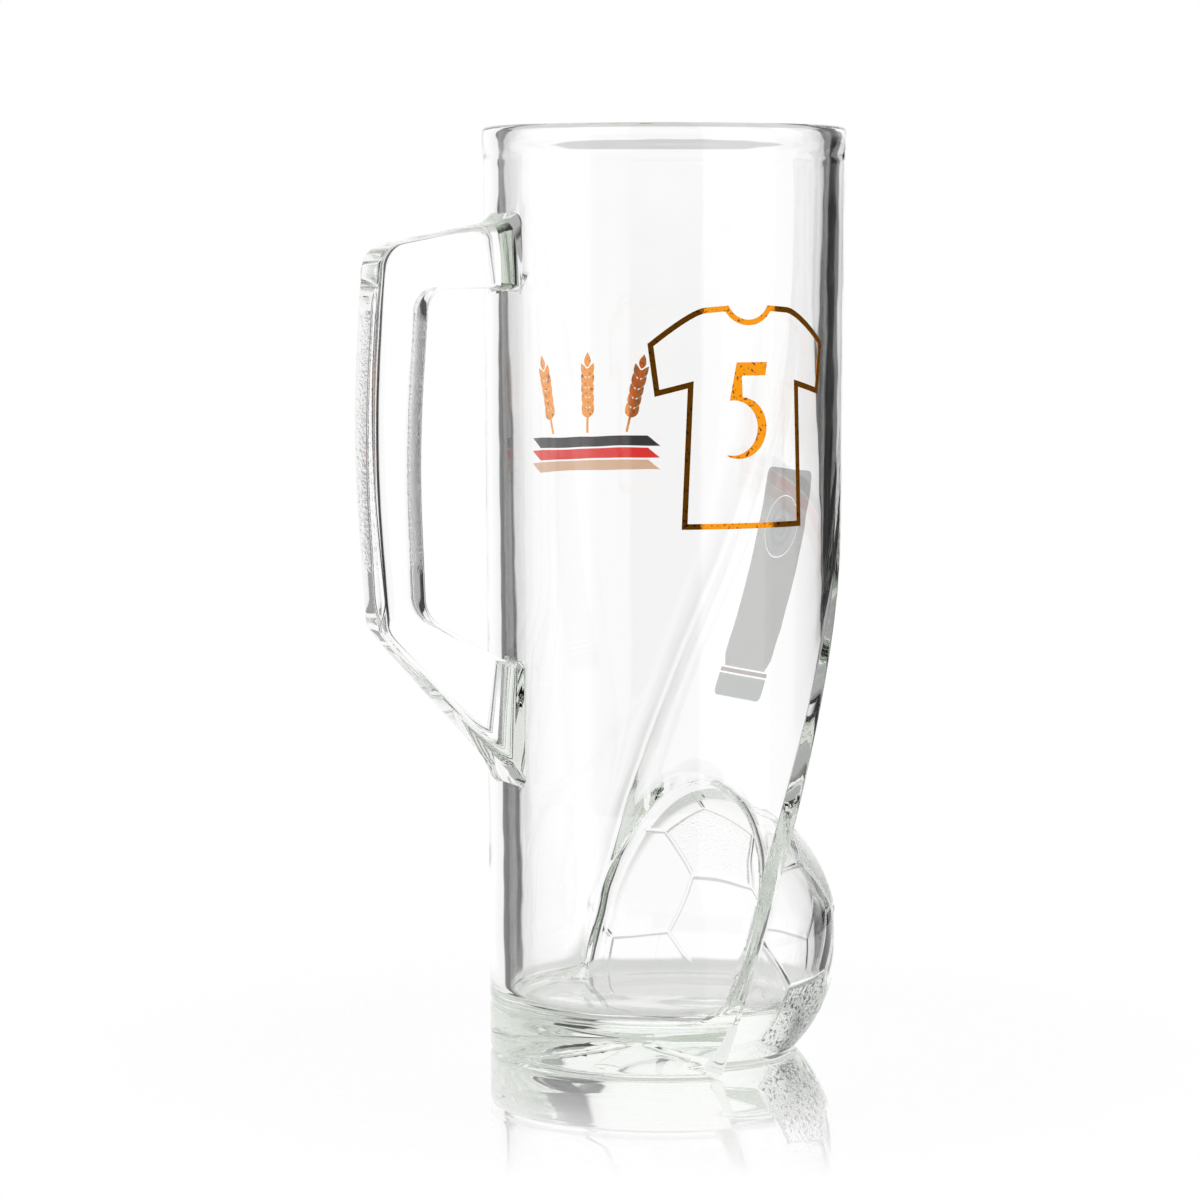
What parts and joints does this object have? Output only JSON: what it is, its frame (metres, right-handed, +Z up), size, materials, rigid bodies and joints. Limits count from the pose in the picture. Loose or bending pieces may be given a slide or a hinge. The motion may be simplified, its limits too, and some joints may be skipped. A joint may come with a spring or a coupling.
{
  "type": "beer mug",
  "caption": "Tall clear-glass beer mug with a slanted front facet that bares a hollow glass football, a fused-on glass handle and gold and enamel prints on its walls.",
  "frame": {"origin": "on the body's axis, on the surface that the mug stands on", "axes": "+Z up along the body's axis, +X towards the handle, so that the ball is at -X and the shirt print at +Y"},
  "size_m": [0.1078, 0.0766, 0.195],
  "materials": {
    "vessel": "clear, polished, faintly green in its thickness, with fine wear on the ball's panels",
    "handle": "clear pressed glass, softly wavy",
    "shirt_outline": "fired-on metallic gold print, finely speckled",
    "shirt_numeral": "fired-on metallic gold print, finely speckled",
    "label_panel": "thin pale enamel print",
    "label_roundel": "blue-grey enamel print",
    "label_rule": "red-brown enamel print",
    "label_band": "dark green enamel print",
    "barley_ears": "fired-on metallic gold print",
    "stripe_black": "black enamel print",
    "stripe_red": "red enamel print",
    "stripe_gold": "golden yellow metallic print"
  },
  "bodies": {
    "root": {"vessel": "vessel", "handle": "handle", "shirt_outline": "shirt_outline", "shirt_numeral": "shirt_numeral", "label_panel": "label_panel", "label_roundel": "label_roundel", "label_rule": "label_rule", "label_band": "label_band", "barley_ear_left": "barley_ears", "barley_ear_centre": "barley_ears", "barley_ear_right": "barley_ears", "stripe_black": "stripe_black", "stripe_red": "stripe_red", "stripe_gold": "stripe_gold"}
  },
  "joints": []
}
